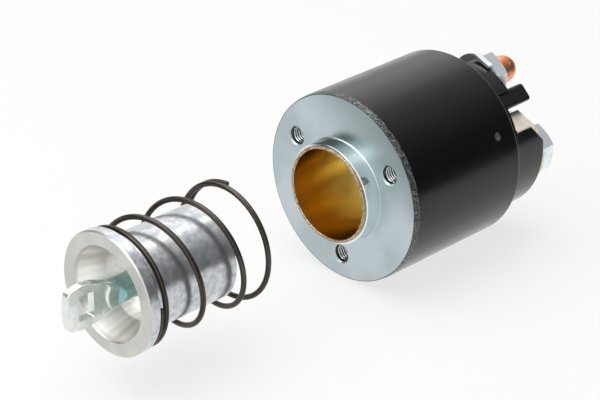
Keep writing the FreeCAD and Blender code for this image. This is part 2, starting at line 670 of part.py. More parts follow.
def cap_barrier(body):
    """The post that keeps the two terminals apart."""
    sketch = new_sketch(body, "barrier_plan", "YZ_Plane", height="cap_level - cap_edge")
    corners = []
    for inset, angle in (("barrier_inner_inset", "barrier_start_angle"),
                         ("barrier_outer_inset", "barrier_start_angle"),
                         ("barrier_outer_inset", "barrier_end_angle"),
                         ("barrier_inner_inset", "barrier_end_angle")):
        corners.append((f"(cap_radius - {inset}) * cos({angle})", f"(cap_radius - {inset}) * sin({angle})"))
    outline(sketch, corners)
    barrier = pushed(body, "barrier", sketch, "barrier_level - cap_level + cap_edge")
    level = size("barrier_level")

    def top_or_side(edge):
        ends = [point.X for point in edge.Vertexes]
        on_top = all(close(value, level) for value in ends)
        return on_top or (any(close(value, level) for value in ends) and along_axis(edge, Vector(1, 0, 0)))

    return softened(body, "barrier_round", barrier, top_or_side, "barrier_round")


def cap_hole(body, name, place, radius):
    """A round hole through the cap's rear wall at a terminal."""
    sketch = new_sketch(body, name + "_plan", "YZ_Plane", height="battery_end")
    circle(sketch, place, radius)
    hole = pushed(body, name, sketch, "battery_end - chamber_rear + cap_top_wall", cut=True)
    doc.recompute()
    return hole


def terminal_cap():
    """Moulded terminal cap with its tower, barrier and terminal holes."""
    body = new_body("terminal_cap")
    cap_shell(body)
    cap_tower(body)
    cap_block(body)
    barrier = cap_barrier(body)
    doc.recompute()
    before = barrier.Shape.Volume
    cap_hole(body, "battery_hole", ("battery_y", "battery_z"), "stud_radius + seat_gap")
    cap_hole(body, "motor_hole", ("motor_y", "motor_z"), "stud_radius + seat_gap")
    last = cap_hole(body, "rivet_hole", ("blade_y", "blade_z"), "rivet_radius + seat_gap")
    if last.Shape.Volume >= before:
        raise RuntimeError("the cap's holes cut nothing")


def placed(body, across, height):
    """Move a piece turned about the X axis to its own place across the cap."""
    body.setExpression("Placement.Base.y", bound(across))
    body.setExpression("Placement.Base.z", bound(height))


def stud(label, across, height, end):
    """Copper terminal stud with a flat contact head and a rounded end."""
    body = new_body(label)
    shaft = turned(body, "stud", [
        ("head_front", "0"),
        (end, "0"),
        (end, "stud_radius"),
        ("chamber_rear - seat_gap", "stud_radius"),
        ("chamber_rear - seat_gap", "stud_head_radius"),
        ("head_front", "stud_head_radius"),
    ])
    softened(body, "tip", shaft,
             lambda edge: ring_edge(edge, size("stud_radius"), size(end)), "stud_tip_round")
    placed(body, across, height)


def hexagon(sketch):
    """A regular hexagon about the origin, its width across flats given by the sheet."""
    half = "nut_flats / 2"
    third = "nut_flats / (2 * sqrt(3))"
    outline(sketch, [(half, third), ("0", "2 * " + third), ("-" + half, third),
                     ("-" + half, "-" + third), ("0", "-2 * " + third), (half, "-" + third)])


def nut(label, across, height, front, tall, turn):
    """Hexagon nut with both ends chamfered, bored to seat on its stud."""
    body = new_body(label)
    sketch = new_sketch(body, "hexagon", "YZ_Plane", height=front)
    hexagon(sketch)
    pushed(body, "blank", sketch, tall)
    corner = "nut_flats / sqrt(3)"
    flat = "nut_flats / 2 * 0.97"
    drop = f"({corner} - {flat}) * tan(nut_chamfer_angle)"
    rear = f"{front} + {tall}"
    outside = corner + " + 1"
    steep = f"({outside} - {flat}) * tan(nut_chamfer_angle)"
    turned(body, "rear_chamfer", [(rear, flat), (f"{rear} - {steep}", outside), (f"{rear} + {drop}", outside),
                                  (f"{rear} + {drop}", flat)], cut=True)
    turned(body, "front_chamfer", [(front, flat), (f"{front} - {drop}", flat), (f"{front} - {drop}", outside),
                                   (f"{front} + {steep}", outside)], cut=True)
    bore = "stud_radius + seat_gap"
    mouth = "stud_radius * 1.13"
    turned(body, "bore", [
        (f"{front} - seat_gap", "0"), (f"{rear} + seat_gap", "0"), (f"{rear} + seat_gap", mouth),
        (rear, mouth), (f"{rear} - {mouth} + {bore}", bore), (f"{front} + {mouth} - {bore}", bore),
        (front, mouth), (f"{front} - seat_gap", mouth),
    ], cut=True)
    body.Placement = FreeCAD.Placement(Vector(0, 0, 0), FreeCAD.Rotation(Vector(1, 0, 0), 1))
    body.setExpression("Placement.Rotation.Angle", bound(turn))
    placed(body, across, height)


def washer(label, across, height, front):
    """Lock washer under the battery nut, with a lug bent down over the block's side."""
    body = new_body(label)
    edge = "washer_thickness * 0.15"
    turned(body, "washer", [
        (front, "stud_radius + seat_gap"),
        (f"{front} + washer_thickness", "stud_radius + seat_gap"),
        (f"{front} + washer_thickness", f"washer_radius - {edge}"),
        (f"{front} + washer_thickness - {edge}", "washer_radius"),
        (front, "washer_radius"),
    ])

    def corner(out, side):
        """A corner of the lug's plan, out along the lug's direction and to one side of it."""
        return (f"({out}) * cos(lug_angle) - ({side}) * sin(lug_angle)",
                f"({out}) * sin(lug_angle) + ({side}) * cos(lug_angle)")

    plan = new_sketch(body, "lug_plan", "YZ_Plane", height=f"{front} - lug_drop")
    inner = "washer_radius - washer_thickness"
    outline(plan, [corner(inner, "-lug_width / 2"), corner("washer_radius", "-lug_width / 2"),
                   corner("washer_radius", "lug_width / 2"), corner(inner, "lug_width / 2")])
    pushed(body, "lug", plan, f"lug_drop + washer_thickness - {edge}")
    placed(body, across, height)


def motor_strap():
    """Tinned copper strap, bent down the tower's upper side, with an eye under the motor nut."""
    body = new_body("motor_strap")
    inner = "seat_gap"
    outer = "(seat_gap + strap_thickness)"
    corner = "(sqrt(2) - 1)"
    eye_height = "motor_y * cos(tower_side_angle) + motor_z * sin(tower_side_angle)"
    middle = "(tower_side_start + tower_side_end) / 2"
    eye_across = f"motor_z * cos(tower_side_angle) - motor_y * sin(tower_side_angle) - {middle}"
    foot = "cap_level + seat_gap"
    section = new_sketch(body, "section")
    outline(section, [
        (foot, f"tower_side + {inner}"),
        (f"tower_level - tower_bevel + {inner} * {corner}", f"tower_side + {inner}"),
        (f"tower_level + {inner}", f"tower_side - tower_bevel + {inner} * {corner}"),
        (f"tower_level + {inner}", eye_height),
        (f"tower_level + {outer}", eye_height),
        (f"tower_level + {outer}", f"tower_side - tower_bevel + {outer} * {corner}"),
        (f"tower_level - tower_bevel + {outer} * {corner}", f"tower_side + {outer}"),
        (foot, f"tower_side + {outer}"),
    ])
    pushed(body, "leg", section, "strap_width", both=True)
    eye_plan = new_sketch(body, "eye_plan", "YZ_Plane", height=f"tower_level + {inner}")
    circle(eye_plan, (eye_height, eye_across), "strap_eye_radius")
    pushed(body, "eye", eye_plan, "strap_thickness")
    hole_plan = new_sketch(body, "hole_plan", "YZ_Plane", height=f"tower_level + 2 * {outer}")
    circle(hole_plan, (eye_height, eye_across), "stud_radius + seat_gap")
    pushed(body, "hole", hole_plan, f"2 * {outer}", cut=True)
    body.Placement = FreeCAD.Placement(Vector(0, 0, 0), FreeCAD.Rotation(Vector(1, 0, 0), 1))
    body.setExpression("Placement.Rotation.Angle", bound("tower_side_angle"))
    placed(body, f"-({middle}) * sin(tower_side_angle)", f"({middle}) * cos(tower_side_angle)")


def blade_terminal():
    """Tinned blade for the trigger lead, bent up from a riveted foot."""
    body = new_body("blade_terminal")
    sketch = new_sketch(body, "section", "XY_Plane")
    foot = "cap_level + seat_gap"
    inner = "blade_y - blade_foot / 2"
    outer = "blade_y + blade_foot / 2"
    outline(sketch, [
        (foot, inner), (foot, outer), (foot + " + blade_height", outer),
        (foot + " + blade_height", outer + " - blade_thickness"),
        (foot + " + blade_thickness", outer + " - blade_thickness"), (foot + " + blade_thickness", inner),
    ])
    pushed(body, "blade", sketch, "blade_width", both=True)
    hole = new_sketch(body, "hole_plan", "YZ_Plane", height=foot + " + 2 * blade_thickness")
    circle(hole, ("blade_y", "0"), "rivet_radius + seat_gap")
    pushed(body, "hole", hole, "4 * blade_thickness", cut=True)
    body.setExpression("Placement.Base.z", bound("blade_z"))


def blade_rivet():
    """Brass rivet that holds the blade's foot to the cap."""
    body = new_body("blade_rivet")
    top = "cap_level + 2 * seat_gap + blade_thickness"
    rivet = turned(body, "rivet", [
        ("chamber_rear - seat_gap - rivet_head_thickness", "0"),
        (top + " + rivet_head_thickness", "0"),
        (top + " + rivet_head_thickness", "rivet_head_radius"),
        (top, "rivet_head_radius"),
        (top, "rivet_radius"),
        ("chamber_rear - seat_gap", "rivet_radius"),
        ("chamber_rear - seat_gap", "rivet_head_radius"),
        ("chamber_rear - seat_gap - rivet_head_thickness", "rivet_head_radius"),
    ])
    crown = size("cap_level") + 2 * size("seat_gap") + size("blade_thickness")
    crown += size("rivet_head_thickness")
    softened(body, "crown", rivet, lambda edge: ring_edge(edge, size("rivet_head_radius"), crown),
             "rivet_head_thickness * 0.6")
    placed(body, "blade_y", "blade_z")


def contact_rod():
    """Steel rod through the core, with a collar that the contact spring pushes on."""
    body = new_body("contact_rod")
    rod = turned(body, "rod", [
        ("rod_tip", "0"), ("rod_end", "0"), ("rod_end", "rod_radius"), ("rod_collar_back", "rod_radius"),
        ("rod_collar_back", "rod_collar_radius"), ("rod_collar_place", "rod_collar_radius"),
        ("rod_collar_place", "rod_radius"), ("rod_tip", "rod_radius"),
    ])
    softened(body, "tip", rod, lambda edge: ring_edge(edge, size("rod_radius"), size("rod_tip")),
             "rod_radius * 0.25", chamfer=True)


def contact_stack():
    """Copper contact disc between two insulating bushes, held on the rod by a clip."""
    hole = "rod_radius + seat_gap"
    tube = hole + " + bush_wall"
    ring("contact_disc", tube + " + seat_gap", "disc_radius", "disc_front", "disc_rear")
    front = new_body("front_bush")
    turned(front, "bush", [
        ("bush_front", hole), ("disc_rear", hole), ("disc_rear", tube),
        ("disc_front - seat_gap", tube), ("disc_front - seat_gap", "bush_radius"),
        ("bush_front", "bush_radius"),
    ])
    ring("rear_bush", hole, "bush_radius", "disc_rear + seat_gap", "disc_rear + seat_gap + bush_flange")
    ring("rod_clip", hole, "clip_radius", "clip_front", "clip_rear")


def plunger():
    """Turned steel plunger: a spring flange, a flared cup in front and a spring room behind."""
    body = new_body("plunger")
    turned(body, "blank", [
        ("flange_edge", "mouth_radius"),
        ("cup_cone_depth", "cup_waist_radius"),
        ("cup_depth", "cup_waist_radius - running_gap"),
        ("cup_depth", "shank_radius + running_gap"),
        ("cup_floor_rear", "shank_radius + running_gap"),
        ("cup_floor_rear", "spring_room_radius"),
        ("plunger_length", "spring_room_radius"),
        ("plunger_length", "plunger_body - plunger_rear_edge"),
        ("plunger_length - plunger_rear_edge", "plunger_body"),
        ("flange_thickness", "plunger_body"),
        ("flange_thickness", "flange_radius - flange_edge"),
        ("flange_thickness - flange_edge", "flange_radius"),
        ("flange_edge", "flange_radius"),
        ("0", "flange_radius - flange_edge"),
        ("0", "mouth_radius + mouth_edge"),
    ])
    body.setExpression("Placement.Base.x", bound("plunger_front"))


def plunger_plug():
    """Steel plug staked into the plunger's rear."""
    body = ring("plunger_plug", "0", "spring_room_radius - seat_gap", "plug_front", "plunger_length")
    body.setExpression("Placement.Base.x", bound("plunger_front"))


def hook_blade(body):
    """The hook's forged blade: a blunt nose, round shoulders and a taper to the shank."""
    nose = "-hook_reach"
    stations = [("0", "hook_nose_height"), ("hook_corner_place", "hook_corner_height"),
                ("hook_shoulder", "hook_height"), ("hook_waist", "hook_waist_height")]
    plan = new_sketch(body, "eye_plan", "XZ_Plane")
    upper = [(f"{nose} + {along}", f"{tall} / 2") for along, tall in stations]
    lower = [(f"{nose} + {along}", f"-{tall} / 2") for along, tall in reversed(stations)]
    outline(plan, upper + [("hook_root", "shank_radius"), ("hook_root", "-shank_radius")] + lower)
    blade = pushed(body, "eye", plan, "hook_thickness", both=True)
    nose_x = -size("hook_reach")
    across = Vector(0, 1, 0)
    rounds = [("front", 0.0, "hook_front_round"), ("nose", size("hook_corner_place"), "hook_nose_round"),
              ("shoulder", size("hook_shoulder"), "hook_shoulder_round"),
              ("waist", size("hook_waist"), "hook_shoulder_round")]
    for name, along, amount in rounds:
        blade = softened(body, name, blade, lambda edge, place=nose_x + along: along_axis(edge, across)
                         and close(edge.Vertexes[0].X, place), amount)
    half = size("hook_thickness") / 2

    def side_edge(edge):
        on_side = all(close(abs(point.Y), half) for point in edge.Vertexes)
        return on_side and not all(close(point.X, size("hook_root")) for point in edge.Vertexes)

    return softened(body, "edges", blade, side_edge, "hook_edge")


def hook_window(body):
    """The window in the blade for the shift lever."""
    window = new_sketch(body, "window_plan", "XZ_Plane")
    start = "-hook_reach + window_front"
    outline(window, [
        (start, "window_height / 2"), (start + " + window_length", "window_height / 2"),
        (start + " + window_length", "-window_height / 2"), (start, "-window_height / 2"),
    ])
    opening = pushed(body, "window", window, "2 * hook_thickness", cut=True, both=True)
    start_x = size("window_front") - size("hook_reach")
    end_x = start_x + size("window_length")

    def window_corner(edge):
        at_end = close(edge.Vertexes[0].X, start_x) or close(edge.Vertexes[0].X, end_x)
        return along_axis(edge, Vector(0, 1, 0)) and at_end

    softened(body, "window_corners", opening, window_corner, "window_round")


def hook_flat(body, name, side, reverse):
    """One of the shank's two milled flats, with the cutter's round end."""
    depth = "shank_radius + hook_edge"
    start = "hook_step_place - hook_reach"
    middle = "hook_flat_middle - hook_reach"
    plan = new_sketch(body, name + "_plan", "XZ_Plane", height=f"{side}({depth})")
    outline(plan, [(start, "hook_flat_round"), (middle, "hook_flat_round"),
                   (middle, "-hook_flat_round"), (start, "-hook_flat_round")])
    pushed(body, name, plan, f"{depth} - hook_flat_gap / 2", cut=True, reverse=reverse)
    end_plan = new_sketch(body, name + "_end_plan", "XZ_Plane", height=f"{side}({depth})")
    circle(end_plan, (middle, "0"), "hook_flat_round")
    pushed(body, name + "_end", end_plan, f"{depth} - hook_flat_gap / 2", cut=True, reverse=reverse)


def pull_hook():
    """Forged pull hook: a blade with a window for the shift lever, on a shank with two flats."""
    body = new_body("pull_hook")
    hook_blade(body)
    hook_window(body)
    neck = "-hook_reach + hook_step_place"
    turned(body, "shank", [
        (neck, "0"), ("seat_rear", "0"), ("seat_rear", "tail_radius"), ("seat_front", "tail_radius"),
        ("seat_front", "shank_radius"), (neck + " + hook_step_length", "shank_radius"),
        (neck, "hook_thickness / 2"),
    ])
    hook_flat(body, "far_flat", "", False)
    hook_flat(body, "near_flat", "-", True)
    body.setExpression("Placement.Base.x", bound("plunger_front"))


def spring_seat():
    """Steel collar riveted to the hook's tail, which the meshing spring pushes on."""
    body = ring("spring_seat", "tail_radius + seat_gap", "spring_seat_radius", "seat_front", "seat_rear")
    body.setExpression("Placement.Base.x", bound("plunger_front"))


def coil_places(start, length, wire, turns):
    """Axial place of the wire's centre against turns: closed ends, eased into an open middle."""
    closed = size("closed_turns")
    easing = size("easing_turns")
    flat = 2 * wire + size("coil_gap")
    steps = round(turns * 12)
    marks = [turns * number / steps for number in range(steps + 1)]

    def openness(mark):
        """0 in the closed ends and 1 in the open middle."""
        inward = min(mark, turns - mark)
        share = min(1.0, max(0.0, (inward - closed) / easing))
        return share * share * (3 - 2 * share)

    shares = [openness((first + second) / 2) for first, second in zip(marks, marks[1:])]
    step = turns / steps
    free = length - 2 * wire - flat * turns
    open_pitch = free / (step * sum(shares))
    places = [start + wire]
    for share in shares:
        places.append(places[-1] + step * (flat + open_pitch * share))
    return marks, places


def coil_spring(label, start, length, radius, wire, turns, start_angle):
    """Round wire swept along a helix whose pitch closes at both ends."""
    marks, places = coil_places(start, length, wire, turns)
    points = []
    for mark, place in zip(marks, places):
        angle = math.radians(start_angle) + 2 * math.pi * mark
        points.append(Vector(place, radius * math.cos(angle), radius * math.sin(angle)))
    path = Part.BSplineCurve()
    path.interpolate(points)
    spine = Part.Wire([path.toShape()])
    start_direction = path.tangent(path.FirstParameter)[0]
    section = Part.Wire([Part.Circle(points[0], start_direction, wire).toShape()])
    solid = spine.makePipeShell([section], True, True)
    spring = doc.addObject("Part::Feature", label)
    spring.Label = label
    spring.Shape = solid


def springs():
    """The four springs, each between the faces that it pushes on."""
    gap = size("seat_gap")
    front = size("plunger_front")
    coil_spring("return_spring", front + size("flange_thickness") + gap, size("return_spring_length"),
                size("return_spring_radius"), size("return_spring_wire"),
                size("return_spring_turns"), size("return_spring_start"))
    floor = front + size("cup_floor_rear") + gap
    coil_spring("meshing_spring", floor, front + size("seat_front") - gap - floor,
                size("mesh_spring_radius"), size("mesh_spring_wire"), size("mesh_spring_turns"), 0)
    collar = size("rod_collar_back") + gap
    coil_spring("contact_spring", collar, size("bush_front") - gap - collar,
                size("contact_spring_radius"), size("contact_spring_wire"), size("contact_spring_turns"), 0)
    clip = size("clip_rear") + gap
    coil_spring("rod_return_spring", clip, size("well_floor") - gap - clip,
                size("rod_spring_radius"), size("rod_spring_wire"), size("rod_spring_turns"), 0)


case()
front_plate()
plunger_sleeve()
bobbin()
windings()
fixed_core()
core_plate()
cap_seal()
terminal_cap()
battery_place = ("battery_y", "battery_z")
motor_place = ("motor_y", "motor_z")
stud("battery_stud", *battery_place, "battery_end")
stud("motor_stud", *motor_place, "motor_end")
washer("battery_washer", *battery_place, "block_level + seat_gap")
nut("battery_nut", *battery_place, "block_level + 2 * seat_gap + washer_thickness",
    "battery_nut_height", "battery_nut_turn")
motor_strap()
nut("motor_nut", *motor_place, "tower_level + 2 * seat_gap + strap_thickness",
    "motor_nut_height", "motor_nut_turn")
blade_terminal()
blade_rivet()
contact_rod()
contact_stack()
plunger()
plunger_plug()
pull_hook()
spring_seat()
springs()
doc.recompute()

for item in doc.Objects:
    if "Invalid" in item.State or "Error" in item.State:
        raise RuntimeError(f"{item.Name} failed: {item.State}")

pieces = [item for item in doc.Objects if item.TypeId in ("PartDesign::Body", "Part::Feature")]
for piece in pieces:
    shape = piece.Shape
    if shape.isNull() or not shape.isValid() or not shape.Solids:
        raise RuntimeError(f"{piece.Label} has no valid solid")
    shape.exportStep(f"parts/{piece.Label}.step")
    print(piece.Label, len(shape.Solids), round(shape.Volume, 2))
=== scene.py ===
import math
import bmesh
import bpy
import numpy as np
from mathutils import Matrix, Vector


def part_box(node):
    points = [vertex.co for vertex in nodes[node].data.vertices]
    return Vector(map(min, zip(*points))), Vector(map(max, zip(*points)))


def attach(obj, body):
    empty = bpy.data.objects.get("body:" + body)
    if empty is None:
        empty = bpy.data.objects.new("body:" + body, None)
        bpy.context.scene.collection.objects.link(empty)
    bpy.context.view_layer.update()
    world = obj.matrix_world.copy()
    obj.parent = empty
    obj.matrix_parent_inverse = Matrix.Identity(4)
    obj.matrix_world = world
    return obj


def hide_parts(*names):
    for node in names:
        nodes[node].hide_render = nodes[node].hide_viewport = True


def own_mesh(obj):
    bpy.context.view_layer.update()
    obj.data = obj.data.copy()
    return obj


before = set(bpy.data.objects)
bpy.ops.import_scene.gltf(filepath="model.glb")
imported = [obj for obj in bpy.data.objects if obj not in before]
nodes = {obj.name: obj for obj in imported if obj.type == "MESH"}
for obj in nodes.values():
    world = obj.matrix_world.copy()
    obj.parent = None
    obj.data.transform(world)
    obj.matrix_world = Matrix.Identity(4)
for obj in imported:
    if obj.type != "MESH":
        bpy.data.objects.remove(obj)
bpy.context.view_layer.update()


# Case: drawn steel tube, sprayed satin black and rolled in over the terminal cap.
# The paint is thin and speckled on the sharp cone at the front lip, the specks denser towards -Y.
# The punched dimples are painted a light grey as a painted highlight for the glints on their walls,
# and a pale hairline runs round the rolled rear lip.
FRONT_CONE_END = 0.0021
REAR_LIP_EDGE = 0.04195
CASE_RADIUS = 0.0270
PAINT_BLACK = "#040505"
PAINT_THIN = "#BFC3C5"
DIMPLE_HIGHLIGHT_GREY = "#505254"
REAR_LIP_LINE_GREY = "#9A9C9E"
DIMPLES_FROM = 0.0080
DIMPLES_TO = 0.0410


def linear(code):
    """An sRGB hex code as linear RGBA: c / 12.92 below 0.04045, else ((c + 0.055) / 1.055) ** 2.4."""
    channels = [int(code[place:place + 2], 16) / 255 for place in (1, 3, 5)]
    return (*[c / 12.92 if c <= 0.04045 else ((c + 0.055) / 1.055) ** 2.4 for c in channels], 1.0)


def new_material(name, **sockets):
    """A material with its main shader's constants set."""
    material = bpy.data.materials.new(name)
    material.use_nodes = True
    shader = material.node_tree.nodes["Principled BSDF"]
    for socket, value in sockets.items():
        shader.inputs[socket.replace("_", " ")].default_value = value
    return material


def add(material, kind, values=None, links=None, **settings):
    """Add one shader node, with its settings, input values and the sockets that feed it."""
    node = material.node_tree.nodes.new("ShaderNode" + kind)
    for setting, value in settings.items():
        setattr(node, setting, value)
    for socket, value in (values or {}).items():
        node.inputs[socket].default_value = value
    for socket, source in (links or {}).items():
        material.node_tree.links.new(source, node.inputs[socket])
    return node


def feed(material, **sources):
    """Link sockets to the main shader's inputs."""
    shader = material.node_tree.nodes["Principled BSDF"]
    for socket, source in sources.items():
        material.node_tree.links.new(source, shader.inputs[socket.replace("_", " ")])


def position(material, axis=None):
    """The piece's own coordinates in metres, whole or along one axis."""
    place = add(material, "TexCoord").outputs["Object"]
    if axis is None:
        return place
    return add(material, "SeparateXYZ", links={"Vector": place}).outputs[axis]


def ramp(material, source, low, high, start=0.0, end=1.0):
    """A smooth step that turns start into end while the source goes from low to high."""
    values = {"From Min": low, "From Max": high, "To Min": start, "To Max": end}
    node = add(material, "MapRange", values, {"Value": source}, interpolation_type="SMOOTHSTEP")
    return node.outputs["Result"]


def noise(material, grain, place=None, detail=3.0, stretch=None):
    """Cloudy noise whose patches are about grain metres wide, stretched along an axis if asked."""
    vector = place or position(material)
    if stretch:
        vector = add(material, "Mapping", {"Scale": stretch}, {"Vector": vector}).outputs["Vector"]
    values = {"Scale": 1.0 / grain, "Detail": detail}
    return add(material, "TexNoise", values, {"Vector": vector}).outputs["Fac"]


def product(material, first, second):
    """Two masks multiplied."""
    return add(material, "Math", links={0: first, 1: second}, operation="MULTIPLY").outputs["Value"]


def colours(material, mask, first, second):
    """One colour where the mask is 0 and the other where it is 1; each a hex code or a socket."""
    node = add(material, "Mix", links={0: mask}, data_type="RGBA")
    for index, colour in ((6, first), (7, second)):
        if isinstance(colour, str):
            node.inputs[index].default_value = linear(colour)
        else:
            material.node_tree.links.new(colour, node.inputs[index])
    return node.outputs[2]


def relief(material, height, depth, under=None):
    """A bump whose full height is depth metres, on top of another bump if given."""
    links = {"Height": height}
    if under:
        links["Normal"] = under
    return add(material, "Bump", {"Strength": 1.0, "Distance": depth}, links).outputs["Normal"]


def dress(material, *names):
    """Give every face of these CAD nodes one material."""
    for name in names:
        for slot in nodes[name].material_slots:
            slot.material = material


def from_axis(material):
    """Distance from the bore's axis in metres."""
    parts = add(material, "SeparateXYZ", links={"Vector": position(material)}).outputs
    flat = add(material, "CombineXYZ", links={"Y": parts["Y"], "Z": parts["Z"]}).outputs["Vector"]
    return add(material, "VectorMath", links={0: flat}, operation="LENGTH").outputs["Value"]


# The eye gets a deep satin black, with specks of light on the front cone. The specks are
# drawn coarser than real ones, which would be too fine to show.
paint = new_material("sprayed_satin_black_paint", Metallic=0.0, IOR=1.43)
along = position(paint, "X")
cone = ramp(paint, along, FRONT_CONE_END, FRONT_CONE_END - 0.0004)
# The specks are denser towards -Y.
denser_towards_minus_y = ramp(paint, position(paint, "Y"), 0.012, -0.008, 0.1, 1.0)
specks = product(paint, denser_towards_minus_y, ramp(paint, noise(paint, 0.00022, detail=1.0), 0.57, 0.63))
# A pale hairline round the rolled rear lip.
lip_line = ramp(paint, along, REAR_LIP_EDGE, REAR_LIP_EDGE + 0.0003, 0.0, 0.6)
middle = product(paint, ramp(paint, along, DIMPLES_FROM, DIMPLES_FROM + 0.001),
                 ramp(paint, along, DIMPLES_TO, DIMPLES_TO - 0.0005))
# Painted highlight: the dimples are painted a light grey, so that their walls show glints.
dimple = product(paint, middle, ramp(paint, from_axis(paint), CASE_RADIUS - 0.0001, CASE_RADIUS - 0.0003))
thin = product(paint, cone, specks)
base = colours(paint, thin, PAINT_BLACK, PAINT_THIN)
with_lip_line = colours(paint, lip_line, base, REAR_LIP_LINE_GREY)
satin = ramp(paint, noise(paint, 0.006), 0.3, 0.7, 0.2, 0.25)
feed(paint,
     Base_Color=colours(paint, dimple, with_lip_line, DIMPLE_HIGHLIGHT_GREY),
     Roughness=satin,
     Normal=relief(paint, noise(paint, 0.0012), 0.000004))
dress(paint, "case")


# Front plate: steel turned in one piece with its spigot, zinc plated and clear passivated.
# It is pressed into the case's front lip and has three M5 threads, whose crests are a
# mesh of their own inside the plain holes of the CAD plate.
PLATE_THICKNESS = 0.0050
BOLT_CIRCLE = 0.0200
THREAD_PITCH = 0.0008
THREAD_ROOT = 0.0025
THREAD_CREST = 0.00212
THREAD_START = 0.00042
THREAD_POINTS = 48
THREAD_STEPS = 10
THREAD_GAP = 0.00001
THREAD_BACK = 0.00003
BOLT_ANGLES = (30.0, 150.0, 270.0)
SHADE_DIRECTION = (0.0, -0.5, 0.87)
ZINC_GRAIN_DEPTH = 0.000002


def zinc(name, bright, shade, rough, blotch, patches=()):
    """Zinc plate over turned steel: a bluish metal with cloudy passivation and a fine grain.
    Each patch is a mask function, the colour there and the share of the roughness left there."""
    metal = new_material(name, Metallic=1.0)
    cloud = ramp(metal, noise(metal, blotch), 0.36, 0.66)
    grain = noise(metal, 0.0003, detail=4.0)
    haze = add(metal, "Math", {1: 0.35}, {0: grain}, operation="MULTIPLY").outputs["Value"]
    both = add(metal, "Math", links={0: product(metal, cloud, cloud), 1: haze}, operation="ADD")
    roughness = ramp(metal, both.outputs["Value"], 0.0, 1.3, rough - 0.03, rough + 0.06)
    base = colours(metal, cloud, bright, shade)
    for mask_of, colour, gloss in patches:
        mask = mask_of(metal)
        base = colours(metal, mask, base, colour)
        roughness = product(metal, roughness, ramp(metal, mask, 0.0, 1.0, 1.0, gloss))
    feed(metal,
         Base_Color=base,
         Roughness=roughness,
         Normal=relief(metal, grain, ZINC_GRAIN_DEPTH))
    return metal


def skin(name, rings, body, smooth_under, loop=False):
    """Mesh through rings of points, shape (rings, points, 3): quads between neighbours.
    The ends are closed by one face each, or joined to each other for a loop."""
    count, around, _ = rings.shape
    rows = np.arange(count if loop else count - 1)[:, None]
    columns = np.arange(around)[None, :]
    following = (columns + 1) % around
    upper = (rows + 1) % count
    quads = np.stack([rows * around + columns, rows * around + following,
                      upper * around + following, upper * around + columns], axis=-1)
    faces = quads.reshape(-1, 4).tolist()
    if not loop:
        faces.append(list(range(around - 1, -1, -1)))
        faces.append(list(range((count - 1) * around, count * around)))
    mesh = bpy.data.meshes.new(name)
    mesh.from_pydata(rings.reshape(-1, 3).tolist(), [], faces)
    shell = bmesh.new()
    shell.from_mesh(mesh)
    bmesh.ops.recalc_face_normals(shell, faces=shell.faces)
    shell.to_mesh(mesh)
    shell.free()
    mesh.shade_smooth()
    mesh.set_sharp_from_angle(angle=math.radians(smooth_under))
    piece = bpy.data.objects.new(name, mesh)
    bpy.context.collection.objects.link(piece)
    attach(piece, body)
    return piece


def tooth(turns):
    """A flat-topped 60 degree thread form: 0 at the root and 1 at the crest, once a turn."""
    triangle = np.abs((turns % 1.0) * 2 - 1)
    return np.clip((triangle - 0.12) / 0.7, 0, 1)


def tapped_thread(name, across, height):
    """Thread crests inside a hole: radius = root - (root - crest) * tooth(x / pitch - angle).
    The attribute "crest" keeps the tooth's height, by which the material paints dark roots as painted shade
    and bright crests as painted highlight."""
    angle = np.linspace(0, 2 * np.pi, THREAD_POINTS, endpoint=False)[None, :]
    along = np.arange(THREAD_START, PLATE_THICKNESS, THREAD_PITCH / THREAD_STEPS)[:, None]
    fade = np.clip((along - THREAD_START) / THREAD_PITCH, 0, 1)
    form = tooth(along / THREAD_PITCH - angle / (2 * np.pi)) * fade
    inner = THREAD_ROOT - THREAD_GAP - (THREAD_ROOT - THREAD_CREST) * form
    radius = np.concatenate([inner, np.full_like(inner[:2], THREAD_ROOT + THREAD_BACK)])
    places = np.concatenate([along, along[-1:], along[:1]])
    rings = np.stack([places + 0 * angle, across + radius * np.cos(angle),
                      height + radius * np.sin(angle)], axis=-1)
    piece = skin(name, rings, "housing", loop=True, smooth_under=60.0)
    heights = np.concatenate([form, np.zeros_like(form[:2])])
    crest = piece.data.attributes.new("crest", "FLOAT", "POINT")
    crest.data.foreach_set("value", heights.astype(np.float32).ravel())
    return piece


def spigot_side(metal):
    """1 on the spigot, which stands out in front of the plate's face."""
    return ramp(metal, position(metal, "X"), -0.0003, -0.0005)


def spigot_top_painted_shade(metal):
    """1 on top of the spigot, where it is painted darker as painted shade."""
    return product(metal, spigot_side(metal), ramp(metal, position(metal, "Z"), 0.0118, 0.0139))


def edge_painted_shade(metal):
    """1 near the plate's edge at 120 degrees, where the plate is painted darker as painted shade."""
    towards = add(metal, "VectorMath", {1: SHADE_DIRECTION}, {0: position(metal)}, operation="DOT_PRODUCT")
    return ramp(metal, towards.outputs["Value"], 0.008, 0.027)


# The eye gets a pale blue-grey plate with a painted shade that deepens at one edge, a spigot painted paler as
# a painted highlight with a painted shade on top, and threads painted dark in the roots and bright on the
# crests as painted shade and highlight.
# Painted highlight: the spigot is given a paler zinc colour than the rest of the plate.
plate_zinc = zinc("clear_passivated_zinc_on_turned_plate", "#C0CCD0", "#B2BFC2", 0.34, blotch=0.016,
                  patches=((edge_painted_shade, "#94A3A5", 1.0), (spigot_side, "#E6EFEF", 0.5),
                           (spigot_top_painted_shade, "#8A9493", 1.0)))
dress(plate_zinc, "front_plate")
thread_zinc = new_material("zinc_on_cut_thread", Metallic=1.0)
crest = add(thread_zinc, "Attribute", attribute_name="crest").outputs["Fac"]
